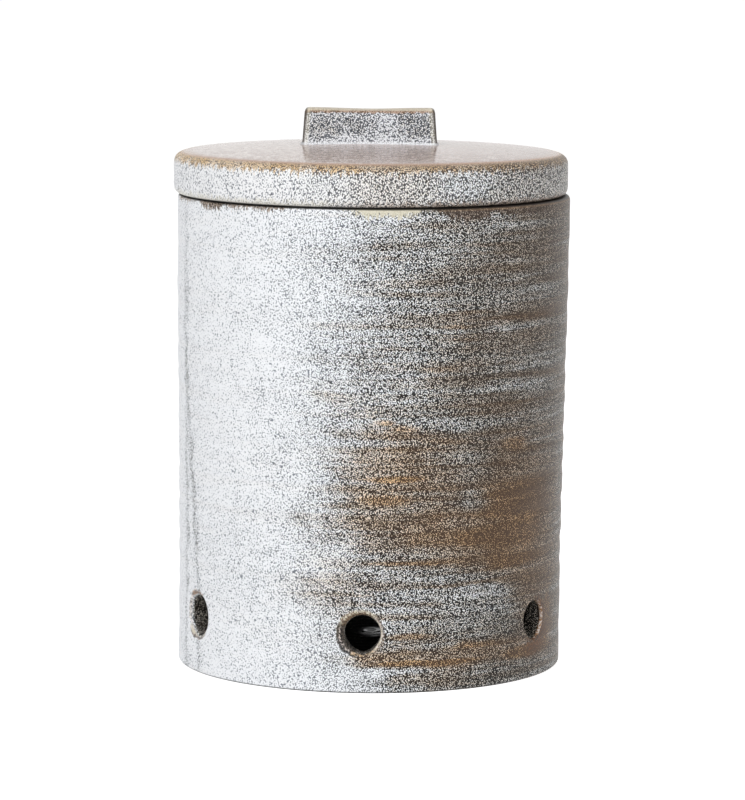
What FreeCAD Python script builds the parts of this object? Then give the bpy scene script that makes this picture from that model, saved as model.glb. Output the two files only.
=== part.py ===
"""Stoneware garlic keeper: a thrown, vented jar and a loose domed lid with an upright slab grip.

Millimetres, +Z up. The origin is the centre of the foot, on the surface that the jar stands on.
The grip's long side runs along X. Writes one STEP per piece to parts/.
"""

import FreeCAD, Part
import math
import os

from FreeCAD import Vector

# Jar
JAR_HEIGHT = 144.0            # foot to rim
JAR_RADIUS = 60.0             # over the wall at the rim
JAR_WIDENING = 1.1            # how much wider the rim's radius is than the foot's
WALL_AT_RIM = 5.0
WALL_AT_FOOT = 5.6            # thrown walls stay thicker low down
FLOOR_THICKNESS = 7.0         # over the foot's recess
RIM_ROUND = 1.6               # sponged edges of the rim
INSIDE_CORNER_ROUND = 5.0     # floor into wall

# Foot: an unglazed ring, turned out in the middle so that it cannot rock
FOOT_RING_WIDTH = 7.0
FOOT_RECESS = 1.5
FOOT_ROUND = 0.9

# Throwing rings: shallow channels that the fingers leave, between two smooth bands
RING_PITCH = 9.0
RING_DEPTH = 0.35             # ridge to channel
PLAIN_BAND_LOW = 30.0         # height of the smooth band that holds the vents
PLAIN_BAND_HIGH = 24.0        # smooth band under the rim

# Vents: holes cut towards the axis, round but for a soft point at the bottom
VENT_COUNT = 6
VENT_RADIUS = 5.4
VENT_POINT = 0.8              # how far the point reaches below the circle
VENT_HEIGHT = 18.0            # centre above the foot
VENT_TURN = -2.5              # degrees from straight ahead (-Y) to the first vent
VENT_LIP = 1.4                # width and depth of the fingered lip outside

# Lid
LID_OVERHANG = 0.3            # past the jar's rim, all round
LID_EDGE_HEIGHT = 12.6        # rim of the jar to where the dome starts
LID_DOME_RISE = 3.2
LID_TOP_ROUND = 3.8
LID_UNDER_ROUND = 1.8
LID_ROOF = 8.0                # clay left over the recess underneath, at its edge
LID_RECESS_ROUND = 3.0
LID_REST_SHARE = -0.55        # share of the play that the loose lid has slid, along X

# Locating ring under the lid
RING_PLAY = 1.8               # radial gap to the mouth when centred
RING_WALL = 5.0
RING_DROP = 8.0               # how far it hangs into the mouth
RING_ROUND = 1.4

# Grip: a slab cut from a rolled sheet and luted on edge
GRIP_FOOT_LENGTH = 41.0
GRIP_TOP_LENGTH = 39.0
GRIP_THICKNESS = 9.5
GRIP_HEIGHT = 10.2            # crown of the dome to the corners of the slab
GRIP_SAG = 0.35               # dip of the top edge between its corners
GRIP_CORNER_ROUND = 2.0
GRIP_EDGE_ROUND = 1.2
GRIP_BED = 0.8                # how deep its flat foot is bedded in the crown

# A turned edge is rounded by straight tapers: one, and another for each of these lengths in its radius
ROUNDING_STEP = 1.7

# Heights and radii that follow
FOOT_RADIUS = JAR_RADIUS - JAR_WIDENING
MOUTH_INNER_RADIUS = JAR_RADIUS - WALL_AT_RIM
FLOOR_INNER_RADIUS = FOOT_RADIUS - WALL_AT_FOOT
FLOOR_TOP = FOOT_RECESS + FLOOR_THICKNESS
LID_RADIUS = JAR_RADIUS + LID_OVERHANG
LID_EDGE_TOP = JAR_HEIGHT + LID_EDGE_HEIGHT
LID_CROWN = LID_EDGE_TOP + LID_DOME_RISE
LID_PLACE = Vector(RING_PLAY * LID_REST_SHARE, 0, 0)
RECESS_CEILING = LID_EDGE_TOP - LID_ROOF
RING_OUTER_RADIUS = MOUTH_INNER_RADIUS - RING_PLAY
RING_INNER_RADIUS = RING_OUTER_RADIUS - RING_WALL
RING_BOTTOM = JAR_HEIGHT - RING_DROP
GRIP_SEAT = LID_CROWN - GRIP_BED
GRIP_TOP = LID_CROWN + GRIP_HEIGHT

CENTRE = Vector(0, 0, 0)
UP = Vector(0, 0, 1)


def corner_arc(before, corner, after, radius):
    """The arc that rounds a corner, tangent to both of its sides."""
    back = (before - corner).normalize()
    ahead = (after - corner).normalize()
    half_angle = back.getAngle(ahead) / 2
    tangent = radius / math.tan(half_angle)
    to_middle = radius / math.sin(half_angle) - radius
    bisector = (back + ahead).normalize()
    return Part.Arc(corner + back * tangent, corner + bisector * to_middle, corner + ahead * tangent)


def section(corners):
    """Points of a turned outline, from (radius, height) or (radius, height, rounding) corners."""
    places = [Vector(radius, 0, height) for radius, height, *_ in corners]
    points = []
    for i, (_, _, *rounding) in enumerate(corners):
        if rounding:
            arc = corner_arc(places[i - 1], places[i], places[i + 1], *rounding)
            tapers = 1 + int(rounding[0] / ROUNDING_STEP)
            points += arc.toShape().discretize(tapers + 1)
        else:
            points.append(places[i])
    return points


def turned(outline):
    """A solid turned about Z from the points of an outline, which is closed here."""
    face = Part.Face(Part.makePolygon(outline + outline[:1]))
    return face.revolve(CENTRE, UP, 360)


def throwing_rings(low, high):
    """Points of the outer wall between two heights, on the ridges and in the channels by turns."""
    count = max(1, round((high - low).Length / RING_PITCH))
    step = (high - low) / count
    inward = Vector(-step.z, 0, step.x).normalize() * RING_DEPTH
    points = []
    for i in range(count):
        ridge = low + step * i
        points += [ridge, ridge + step / 2 + inward]
    return points + [high]


def vent_outline(radius, distance):
    """A vent's outline as seen from the front, some distance in front of the jar's axis."""
    centre = Vector(0, -distance, VENT_HEIGHT)
    spread = math.acos(radius / (radius + VENT_POINT))
    tip = centre - UP * (radius + VENT_POINT)
    right = centre + Vector(math.sin(spread), 0, -math.cos(spread)) * radius
    left = centre + Vector(-math.sin(spread), 0, -math.cos(spread)) * radius
    curves = [
        Part.Arc(right, centre + UP * radius, left),
        Part.LineSegment(left, tip),
        Part.LineSegment(tip, right),
    ]
    return Part.Wire([curve.toShape() for curve in curves])


def vent_tools(index):
    """The bore of one vent, and the flare that opens its lip."""
    outline = vent_outline(VENT_RADIUS, FLOOR_INNER_RADIUS / 2)
    bore = Part.Face(outline).extrude(Vector(0, -FOOT_RADIUS, 0))
    lip_inner = vent_outline(VENT_RADIUS, FOOT_RADIUS - VENT_LIP)
    lip_outer = vent_outline(VENT_RADIUS + 2 * VENT_LIP, FOOT_RADIUS + VENT_LIP)
    tools = [bore, Part.makeLoft([lip_inner, lip_outer], True, True)]
    for tool in tools:
        tool.rotate(CENTRE, UP, VENT_TURN + index * 360.0 / VENT_COUNT)
    return tools


def make_jar():
    """Wall, floor and foot in one, bored for the vents."""
    foot_ring_inner = FOOT_RADIUS - FOOT_RING_WIDTH
    foot = section([
        (0, FOOT_RECESS),
        (foot_ring_inner, FOOT_RECESS),
        (foot_ring_inner, 0),
        (FOOT_RADIUS, 0, FOOT_ROUND),
        (FOOT_RADIUS, PLAIN_BAND_LOW),
    ])
    rim_and_inside = section([
        (JAR_RADIUS, JAR_HEIGHT - PLAIN_BAND_HIGH),
        (JAR_RADIUS, JAR_HEIGHT, RIM_ROUND),
        (MOUTH_INNER_RADIUS, JAR_HEIGHT, RIM_ROUND),
        (FLOOR_INNER_RADIUS, PLAIN_BAND_LOW),
        (FLOOR_INNER_RADIUS, FLOOR_TOP, INSIDE_CORNER_ROUND),
        (0, FLOOR_TOP),
    ])
    wall = throwing_rings(foot.pop(), rim_and_inside.pop(0))
    bores = [tool for i in range(VENT_COUNT) for tool in vent_tools(i)]
    return turned(foot + wall + rim_and_inside).cut(bores)


def dome_ball():
    """The ball whose top is the lid's dome. Its poles lie sideways, clear of the lid."""
    radius = (LID_RADIUS ** 2 + LID_DOME_RISE ** 2) / (2 * LID_DOME_RISE)
    centre = UP * (LID_CROWN - radius)
    ball = Part.makeSphere(radius, centre, Vector(1, 0, 0))
    ball.rotate(centre, Vector(1, 0, 0), 90)
    return ball


def make_lid_disc():
    """Thick disc, flat where it rests on the rim, hollowed inside the locating ring."""
    disc = turned(section([
        (0, RECESS_CEILING),
        (RING_INNER_RADIUS, RECESS_CEILING, LID_RECESS_ROUND),
        (RING_INNER_RADIUS, JAR_HEIGHT),
        (LID_RADIUS, JAR_HEIGHT, LID_UNDER_ROUND),
        (LID_RADIUS, LID_EDGE_TOP, LID_TOP_ROUND),
        (0, LID_EDGE_TOP + 2 * LID_DOME_RISE),
    ]))
    disc = disc.common(dome_ball())
    disc.translate(LID_PLACE)
    return disc.cut(make_grip())


def make_locating_ring():
    """Ring under the lid that drops into the mouth and keeps the lid from sliding off."""
    ring = turned(section([
        (RING_INNER_RADIUS, JAR_HEIGHT),
        (RING_INNER_RADIUS, RING_BOTTOM, RING_ROUND),
        (RING_OUTER_RADIUS, RING_BOTTOM, RING_ROUND),
        (RING_OUTER_RADIUS, JAR_HEIGHT),
    ]))
    ring.translate(LID_PLACE)
    return ring


def make_grip():
    """Upright slab with softened edges and a dipped top, bedded flat in the crown of the dome."""
    splay = (GRIP_FOOT_LENGTH - GRIP_TOP_LENGTH) / 2 / GRIP_HEIGHT
    half_seat = GRIP_FOOT_LENGTH / 2 + splay * GRIP_BED
    front = -GRIP_THICKNESS / 2

    def mirrored(point):
        return Vector(-point.x, point.y, point.z)

    seat = Vector(half_seat, front, GRIP_SEAT)
    dip = Vector(0, front, GRIP_TOP - GRIP_SAG)
    corner = corner_arc(seat, Vector(GRIP_TOP_LENGTH / 2, front, GRIP_TOP), dip, GRIP_CORNER_ROUND)
    side_end, middle, top_start = corner.toShape().discretize(3)
    outline = [
        Part.LineSegment(mirrored(seat), seat),
        Part.LineSegment(seat, side_end),
        Part.Arc(side_end, middle, top_start),
        Part.Arc(top_start, dip, mirrored(top_start)),
        Part.Arc(mirrored(top_start), mirrored(middle), mirrored(side_end)),
        Part.LineSegment(mirrored(side_end), mirrored(seat)),
    ]
    face = Part.Face(Part.Wire([piece.toShape() for piece in outline]))
    slab = face.extrude(Vector(0, GRIP_THICKNESS, 0))
    around = [e for e in slab.Edges if e.BoundBox.YLength < 0.01 and e.BoundBox.ZMax > LID_CROWN]
    slab = slab.makeFillet(GRIP_EDGE_ROUND, around)
    slab.translate(LID_PLACE)
    return slab


PIECES = {
    "jar": make_jar,
    "lid_disc": make_lid_disc,
    "lid_locating_ring": make_locating_ring,
    "lid_grip": make_grip,
}


def main():
    os.makedirs("parts", exist_ok=True)
    for name, make in PIECES.items():
        shape = make()
        shape.exportStep(os.path.join("parts", name + ".step"))
        print(f"{name}: {len(shape.Solids)} solid, valid {shape.isValid()}, {shape.Volume / 1000:.1f} cm3")


main()
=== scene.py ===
"""A stoneware garlic keeper: a thrown, vented jar and a loose domed lid with an upright slab grip.

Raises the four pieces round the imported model, glazes them and sets a plain studio. Lengths in the
lists here are millimetres, and azimuths are degrees from the front (-Y) towards +X.
"""

import math
from functools import partial

import bpy
from mathutils import Matrix, Vector


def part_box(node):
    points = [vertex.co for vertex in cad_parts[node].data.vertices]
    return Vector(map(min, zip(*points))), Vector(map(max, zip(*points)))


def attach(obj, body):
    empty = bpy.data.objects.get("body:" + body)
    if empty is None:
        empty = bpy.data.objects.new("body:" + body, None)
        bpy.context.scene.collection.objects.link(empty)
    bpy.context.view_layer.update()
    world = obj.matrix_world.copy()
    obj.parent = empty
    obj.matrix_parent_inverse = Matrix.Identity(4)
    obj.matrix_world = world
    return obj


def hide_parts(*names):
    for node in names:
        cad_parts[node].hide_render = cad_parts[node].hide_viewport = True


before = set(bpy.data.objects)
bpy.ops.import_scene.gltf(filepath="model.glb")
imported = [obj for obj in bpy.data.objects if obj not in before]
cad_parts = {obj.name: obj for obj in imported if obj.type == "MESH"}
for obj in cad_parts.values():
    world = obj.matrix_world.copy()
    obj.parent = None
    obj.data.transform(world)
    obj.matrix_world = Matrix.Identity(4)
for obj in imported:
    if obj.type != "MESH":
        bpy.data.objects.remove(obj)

bl_info = {
    "name": "Garlic Keeper",
    "version": (1, 0, 0),
    "blender": (4, 5, 0),
    "location": "3D View > Sidebar > Keeper",
    "description": "Throws a stoneware garlic keeper, glazes it and sets a plain studio around it",
    "category": "Add Mesh",
}

MM = 0.001
_, JAR_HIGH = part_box("jar")
LID_LOW, LID_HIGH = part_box("lid_disc")
RING_LOW, RING_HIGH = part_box("lid_locating_ring")
GRIP_LOW, GRIP_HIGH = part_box("lid_grip")
LID_CENTRE = (LID_LOW + LID_HIGH).x / 2 / MM
JAR_RADIUS = JAR_HIGH.x / MM  # at the mouth
LID_RADIUS = LID_HIGH.x / MM - LID_CENTRE
ROOM_FOR_WALL = 0.08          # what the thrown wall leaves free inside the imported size
ROOM_FOR_EDGE = 0.12          # and the lid's edge

# Grooves left by the fingers: (height, depth, width)
THROWING_RINGS = (
    (128.0, 0.06, 2.4), (120.0, 0.14, 1.8), (111.0, 0.16, 2.2), (105.0, 0.08, 1.4), (99.0, 0.18, 1.8),
    (91.5, 0.20, 1.6), (85.0, 0.22, 1.7), (78.5, 0.14, 1.5), (72.0, 0.24, 1.9), (67.0, 0.18, 1.5),
    (61.0, 0.26, 1.8), (56.0, 0.14, 1.3), (51.0, 0.34, 2.0), (45.0, 0.16, 1.4), (39.0, 0.26, 1.9),
    (32.0, 0.22, 1.7), (24.0, 0.10, 2.2), (11.0, 0.08, 2.6),
)
INSIDE_RINGS = (
    (126.0, 0.25, 4.0), (113.0, 0.40, 3.6), (99.0, 0.45, 3.8), (86.0, 0.50, 3.4), (72.0, 0.50, 3.8),
    (59.0, 0.55, 3.6), (46.0, 0.50, 3.6), (34.0, 0.40, 3.2),
)
WALL_ROW = 1.0                # height of one row of faces in the outer wall
WALL_START = 5.0              # height at which the wall's rows begin
RIM_DEPTH = 4.5               # how far below the rim they end
INSIDE_ROW = 3.0
DOME_ROWS = 24
TAPER_LOW = 30.0              # below this the wall is upright; above it leans out to the mouth
TAPER_HIGH = 120.0
VENT_COUNT = 6
VENT_PITCH = 360 / VENT_COUNT
VENT_TURN = -2.5              # azimuth of the front vent
VENT_HEIGHT = 18.0
VENT_FACES = 72
VENT_DEPTH = 14.0             # how far inside the outer wall a vent's cutter starts
ROUND_STEPS = 6               # faces across a rounded edge


def colour(code):
    """The linear colour of an sRGB hex code."""
    parts = [int(code[i:i + 2], 16) / 255 for i in (1, 3, 5)]
    return [c / 12.92 if c <= 0.04045 else ((c + 0.055) / 1.055) ** 2.4 for c in parts] + [1.0]


def length(name, description, default):
    """A length that the sidebar shows, from its default in millimetres."""
    return bpy.props.FloatProperty(
        name=name, description=description, default=default * MM, min=0.0, unit="LENGTH", subtype="DISTANCE",
        precision=5,
    )


def tint(name, description, default):
    """A colour that the sidebar shows, from its default as a hex code."""
    return bpy.props.FloatVectorProperty(
        name=name, description=description, default=colour(default), size=4, min=0.0, max=1.0, subtype="COLOR",
    )


class KeeperSizes(bpy.types.PropertyGroup):
    """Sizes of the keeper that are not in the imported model, or that soften it."""

    around: bpy.props.IntProperty(
        name="Faces Around", description="Faces round the jar and the lid", default=288, min=48, max=512,
    )
    wall_rim: length("Wall at Rim", "Thickness of the jar's wall at the mouth", 5.0)
    wall_foot: length("Wall at Foot", "Thickness of the jar's wall low down", 5.6)
    rim_widening: length("Widening", "How much wider the mouth's radius is than the foot's", 1.1)
    lean: length("Lean", "How far the foot sits to the left of the mouth", 0.75)
    unevenness: length("Unevenness", "Rise and fall of the wall between the throwing rings", 0.35)
    foot_ring: length("Foot Ring", "Width of the unglazed ring that the jar stands on", 7.0)
    foot_recess: length("Foot Recess", "Depth of the turned middle of the foot", 1.5)
    floor: length("Floor", "Thickness of the jar's floor", 7.0)
    vent_radius: length("Vent Radius", "Radius of each vent's bore", 5.4)
    vent_point: length("Vent Point", "How far a vent's lower edge is drawn down", 0.9)
    vent_lip: length("Vent Lip", "Width of the softened lip of a vent", 1.3)
    ring_wall: length("Locating Ring", "Thickness of the ring under the lid", 5.0)
    dome_sag: length("Dome Sag", "How far the dome sank in the kiln", 0.42)
    grip_narrowing: length("Grip Narrowing", "How far each end of the grip leans in at the top", 0.8)
    grip_softness: length("Grip Softness", "Rounding of the grip's edges", 1.2)
    grip_sag: length("Grip Sag", "Dip of the grip's top edge", 0.35)
    grip_fillet: length("Grip Fillet", "Glaze pooled round the grip's foot", 0.55)
    grip_offset: length("Grip Offset", "How far left of its mark the grip was luted on", 0.45)


class KeeperGlazes(bpy.types.PropertyGroup):
    """Colours of the glazes and the bare clay."""

    thin_ground: tint("Thin Ground", "Between the crystals, where the glaze is thinnest", "#15110C")
    lean_ground: tint("Lean Ground", "Between the crystals, where the glaze is thin", "#14120F")
    rich_ground: tint("Rich Ground", "Between the crystals, where the glaze is fairly thick", "#191A1B")
    thick_ground: tint("Thick Ground", "Between the crystals, where the glaze is thick", "#6A6E74")
    icy_ground: tint("Icy Ground", "Between the crystals, where the glaze is thickest", "#757C87")
    thin_crystal: tint("Thin Crystals", "Pale crystals where the glaze is thinnest", "#F6ECDE")
    lean_crystal: tint("Lean Crystals", "Pale crystals where the glaze is thin", "#FBF7F0")
    rich_crystal: tint("Rich Crystals", "Pale crystals where the glaze is fairly thick", "#F6F9FC")
    thick_crystal: tint("Thick Crystals", "Pale crystals where the glaze is thick", "#F8FAFE")
    icy_crystal: tint("Icy Crystals", "Pale crystals where the glaze is thickest", "#FAFCFF")
    iron: tint("Iron", "What the clay's iron takes from the light", "#FFDCAE")
    loam: tint("Loam", "Ground where the clay's iron comes through", "#4A3625")
    rust: tint("Rust", "Clay where the glaze has run off an edge", "#33261C")
    tan: tint("Tan", "Crystals where the glaze has run off an edge", "#C4AE9A")
    umber: tint("Umber", "Ground where the glaze thins over an edge", "#76583A")
    ochre: tint("Ochre", "Crystals where the glaze thins over an edge", "#E4C598")
    cream: tint("Cream", "Glaze pooled along an edge", "#DED8C2")
    ginger: tint("Ginger", "Smooth glaze where the dome nears its edge", "#AB7F55")
    petal: tint("Petal", "Crystals melted into the dome of the lid", "#F0E4DC")
    taupe: tint("Taupe", "Smooth dome of the lid", "#957A6E")
    haze: tint("Haze", "Milky blue over the grip", "#A7B0BE")
    sienna: tint("Sienna", "Glaze burnt brown beside a vent", "#6C4220")
    # The liner's colour also paints shade: in the gap under the lid, under the lid's edge and along the foot
    liner: tint("Liner", "Dark glaze inside the jar", "#0D0C0A")
    clay: tint("Bare Clay", "Fired stoneware with no glaze", "#7A6350")
    grit: tint("Grit", "Grains that stand out of the bare clay", "#937A64")


# Rings of the flare at the grip's foot: (height, width), both in shares of the fillet
GRIP_FLARE = ((0.0, 1.0), (0.35, 0.66), (0.75, 0.4), (1.1, 0.22), (1.5, 0.09), (2.0, 0.0))


def outline(corners, reach):
    """Points along (radius, height) corners, at most reach apart.

    A corner (radius, height, back, ahead) is rounded from back before it to ahead after it.
    """
    points = []
    for i, (radius, height, *rounding) in enumerate(corners):
        corner = Vector((radius, height))
        if rounding:
            back = (Vector(corners[i - 1][:2]) - corner).normalized() * rounding[0]
            ahead = (Vector(corners[(i + 1) % len(corners)][:2]) - corner).normalized() * rounding[1]
            shares = [k / ROUND_STEPS for k in range(ROUND_STEPS + 1)]
            points += [corner + back * (1 - t) ** 2 + ahead * t ** 2 for t in shares]
        else:
            points.append(corner)
    path = points[:1]
    for low, high in zip(points, points[1:]):
        steps = max(1, math.ceil((high - low).length / reach))
        path += [low.lerp(high, k / steps) for k in range(1, steps + 1)]
    return path


def grooves(rings, height):
    """How deep the throwing rings are at a height."""
    return sum(depth * math.exp(-((height - middle) / width) ** 2) for middle, depth, width in rings)


def turn_outwards():
    """Turns every face of the piece in edit mode outwards, and leaves edit mode."""
    bpy.ops.mesh.select_all(action="SELECT")
    bpy.ops.mesh.normals_make_consistent(inside=False)
    bpy.ops.object.mode_set(mode="OBJECT")


def throw(name, path, around, centre=0.0, lean=0.0):
    """Raises a round piece ring by ring along a path of (radius, height) points.

    A path that starts off the axis ends where it began, as a closed ring. The others start and end
    in the middle. The foot leans back from the centre by lean, and the mouth not at all.
    """
    def axis(height):
        return centre - lean * (1 - height * MM / JAR_HIGH.z)

    closed = path[-1][0] > 0
    radius, height = path[0]
    bpy.ops.object.select_all(action="DESELECT")
    bpy.ops.mesh.primitive_circle_add(
        vertices=around, radius=radius * MM, fill_type="NOTHING" if closed else "TRIFAN",
        location=(axis(height) * MM, 0, height * MM),
    )
    piece = bpy.context.object
    piece.name = piece.data.name = name
    bpy.ops.object.mode_set(mode="EDIT")
    bpy.ops.mesh.select_mode(type="VERT")
    bpy.ops.mesh.select_all(action="DESELECT")
    bpy.ops.mesh.select_non_manifold()
    for next_radius, next_height in path[1:]:
        shift = axis(next_height) - axis(height)
        move = (shift * MM, 0, (next_height - height) * MM)
        bpy.ops.mesh.extrude_region_move(TRANSFORM_OT_translate={"value": move})
        if next_radius:
            ratio = next_radius / radius
            middle = (axis(next_height) * MM, 0, next_height * MM)
            bpy.ops.transform.resize(value=(ratio, ratio, 1), center_override=middle)
        else:
            bpy.ops.mesh.merge(type="CENTER")
        radius, height = next_radius, next_height
    if closed:
        bpy.ops.mesh.select_all(action="DESELECT")
        bpy.ops.mesh.select_non_manifold()
        bpy.ops.mesh.bridge_edge_loops()
    turn_outwards()
    bpy.ops.object.transform_apply()
    return piece


def only(piece):
    """Selects one piece alone and makes it active."""
    bpy.ops.object.select_all(action="DESELECT")
    piece.select_set(True)
    bpy.context.view_layer.objects.active = piece


def pick(piece, test, kind="VERT"):
    """Opens a piece in edit mode with only the vertices or edges selected whose place passes a test."""
    bpy.context.view_layer.objects.active = piece
    bpy.ops.object.mode_set(mode="EDIT")
    bpy.ops.mesh.select_mode(type=kind)
    bpy.ops.mesh.select_all(action="DESELECT")
    bpy.ops.object.mode_set(mode="OBJECT")
    vertices = piece.data.vertices
    if kind == "VERT":
        for vertex in vertices:
            vertex.select = test(vertex.co)
    else:
        for edge in piece.data.edges:
            edge.select = test((vertices[edge.vertices[0]].co + vertices[edge.vertices[1]].co) / 2)
    bpy.ops.object.mode_set(mode="EDIT")


def apply_modifier(piece, kind, **settings):
    """Adds a modifier with its settings and applies it."""
    only(piece)
    modifier = piece.modifiers.new(kind.lower(), kind)
    for setting, value in settings.items():
        setattr(modifier, setting, value)
    bpy.ops.object.modifier_apply(modifier=modifier.name)


def finish_piece(piece, body, node, sharpest):
    """Shades a piece, ties it to its body and hides the imported node that it stands for."""
    only(piece)
    bpy.ops.object.shade_smooth_by_angle(angle=math.radians(sharpest))
    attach(piece, body)
    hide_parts(node)


# Materials


def add(tree, kind, sockets=(), output=0, **settings):
    """Adds a node with its settings, and gives its first output, another one, or all of them for None.

    A kind of mathematics is followed by its operation, and a Map Range by its interpolation. The
    sockets are listed in the node's own order, or given by number or name, and each gets a number,
    a colour or another node's output. A Map Range lists its value, the range that it comes from and
    the one that it goes to.
    """
    kind, *way = kind.split()
    node = tree.nodes.new("ShaderNode" + kind)
    if way:
        setattr(node, "interpolation_type" if kind == "MapRange" else "operation", way[0])
    for setting, value in settings.items():
        setattr(node, setting, value)
    for socket, value in sockets.items() if isinstance(sockets, dict) else enumerate(sockets):
        if isinstance(value, bpy.types.NodeSocket):
            tree.links.new(value, node.inputs[socket])
        else:
            node.inputs[socket].default_value = value
    return node.outputs if output is None else node.outputs[output]


def emptied(owner):
    """Empties the node tree of a material or the world, and gives the function that adds to it."""
    owner.use_nodes = True
    owner.node_tree.nodes.clear()
    return partial(add, owner.node_tree)


def new_material(name):
    """An empty material, what adds nodes to it, the place on the piece in millimetres, and the glazes."""
    material = bpy.data.materials.new(name)
    node = emptied(material)
    place = node("TexCoord", output="Object")
    place = node("VectorMath SCALE", {0: place, "Scale": 1 / MM})
    return material, node, place, bpy.context.scene.keeper_glazes


def surface(node, base, roughness, height, relief, sheen=0.5):
    """Ends a tree in its shader, over a relief of so many millimetres, sunken where it is negative."""
    bump = node("Bump", {"Height": height, "Distance": abs(relief) * MM, "Strength": 1.0}, invert=relief < 0)
    shader = node("BsdfPrincipled", {
        "Base Color": base, "Roughness": roughness, "Normal": bump, "IOR": 1.5, "Specular IOR Level": sheen,
    })
    node("OutputMaterial", [shader], None)


def layer(node, under, share, colour, specks=None, speck=None):
    """A coat laid by a share over what is under it: of one colour, or with specks of a second."""
    if speck is not None:
        colour = node("Mix", {0: specks, 6: colour, 7: speck}, 2, data_type="RGBA")
    return node("Mix", {0: share, 6: under, 7: colour}, 2, data_type="RGBA")


# Stages of the reactive glaze: (thickness, name in the glaze colours)
STAGES = ((0.04, "thin"), (0.30, "lean"), (0.60, "rich"), (0.86, "thick"), (1.00, "icy"))
JAR_GRAIN, LID_GRAIN, GRIP_GRAIN = 0.39, 0.37, 0.40
CRYSTAL_RELIEF = -0.015       # the glaze sinks between its crystals


def staged(node, thickness, part):
    """Colour of the ground or of the crystals at a thickness of glaze from 0 to 1."""
    ramp = node("ValToRGB", [thickness]).node
    stops = ramp.color_ramp.elements
    for _ in range(len(STAGES) - len(stops)):
        stops.new(1.0)
    for stop, (place, stage) in zip(stops, STAGES):
        stop.position = place
        stop.color = getattr(bpy.context.scene.keeper_glazes, f"{stage}_{part}")
    return ramp.outputs[0]


def crystals(node, place, thickness, warmth, grain):
    """Colour of the reactive glaze, where its crystals are, and how far each place is from one.

    Pale crystals stand about a grain apart on a darker ground, wider and paler where the glaze is
    thick, and no two the same. The clay's iron browns both by warmth. Real crystals are finer, and
    these are as coarse as they need to be to show.
    """
    cells = node("TexVoronoi", {"Vector": place, "Scale": 1 / grain}, None)
    chance = node("SeparateColor", [cells["Color"]])
    taken = node("Math MULTIPLY_ADD", [chance, 0.4, -0.2])
    taken = node("Math ADD", [taken, thickness])
    reach = node("Math MULTIPLY_ADD", [thickness, 0.11, 0.29])
    reach = node("Math MULTIPLY_ADD", [thickness, reach, 0.27])
    within = node("Math SUBTRACT", [reach, cells["Distance"]])
    crystal = node("MapRange", [within, -0.05, 0.05])
    glazes = bpy.context.scene.keeper_glazes
    ground = layer(node, staged(node, taken, "ground"), warmth, glazes.loam)
    pale = node("Mix", {
        0: warmth, 6: staged(node, taken, "crystal"), 7: glazes.iron,
    }, 2, data_type="RGBA", blend_type="MULTIPLY")
    return layer(node, ground, crystal, pale), crystal, cells["Distance"]


def toothed(node, place, z, stretch, tooth):
    """The height on a piece, made ragged by teeth of so many millimetres, drawn down by a scale under 1."""
    hanging = node("Mapping", {"Vector": place, "Scale": (1.0, 1.0, stretch)})
    teeth = node("TexNoise", {"Vector": hanging, "Scale": 1 / tooth, "Detail": 2.0, "Roughness": 0.7})
    teeth = node("Math MULTIPLY_ADD", [teeth, 7.0, -3.5])
    return node("Math ADD", [z, teeth])


CLOUD_SPREAD = 1.35           # a cloud ends this many times its half sizes from its middle
CLOUD_CORE = 0.78             # and is whole this share of the way in


def clouded(node, place, clouds, reach, thickness, warmth):
    """The glaze's thickness and warmth, changed by a list of clouds on a wall of a given radius."""
    for degrees, height, half_width, half_height, thicker, warmer, *tilt in clouds:
        angle = math.radians(degrees)
        cloud = node("Mapping", {
            "Vector": place, "Location": (reach * math.sin(angle), -reach * math.cos(angle), height),
            "Rotation": (0, math.radians(sum(tilt)), angle),
            "Scale": (CLOUD_SPREAD * half_width, CLOUD_SPREAD * reach, CLOUD_SPREAD * half_height),
        }, vector_type="TEXTURE")
        share = node("TexGradient", [cloud], "Fac", gradient_type="SPHERICAL")
        share = node("MapRange SMOOTHSTEP", [share, 0.0, CLOUD_CORE])
        thickness = node("Math MULTIPLY_ADD", [share, thicker, thickness])
        warmth = node("Math MULTIPLY_ADD", [share, warmer, warmth])
    return thickness, warmth


def streaked(node, place, length, height, detail, share, thickness, warmth, thicker, warmer):
    """The glaze's thickness and warmth, changed by noise drawn out round the wall, by a share."""
    drawn = node("Mapping", {"Vector": place, "Scale": (1 / length, 1 / length, 1 / height)})
    streak = node("TexNoise", {"Vector": drawn, "Scale": 1.0, "Detail": detail, "Roughness": 0.6})
    streak = node("Math SUBTRACT", [streak, 0.5])
    streak = node("Math MULTIPLY", [streak, share])
    thickness = node("Math MULTIPLY_ADD", [streak, thicker, thickness])
    return thickness, node("Math MULTIPLY_ADD", [streak, warmer, warmth])


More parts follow.
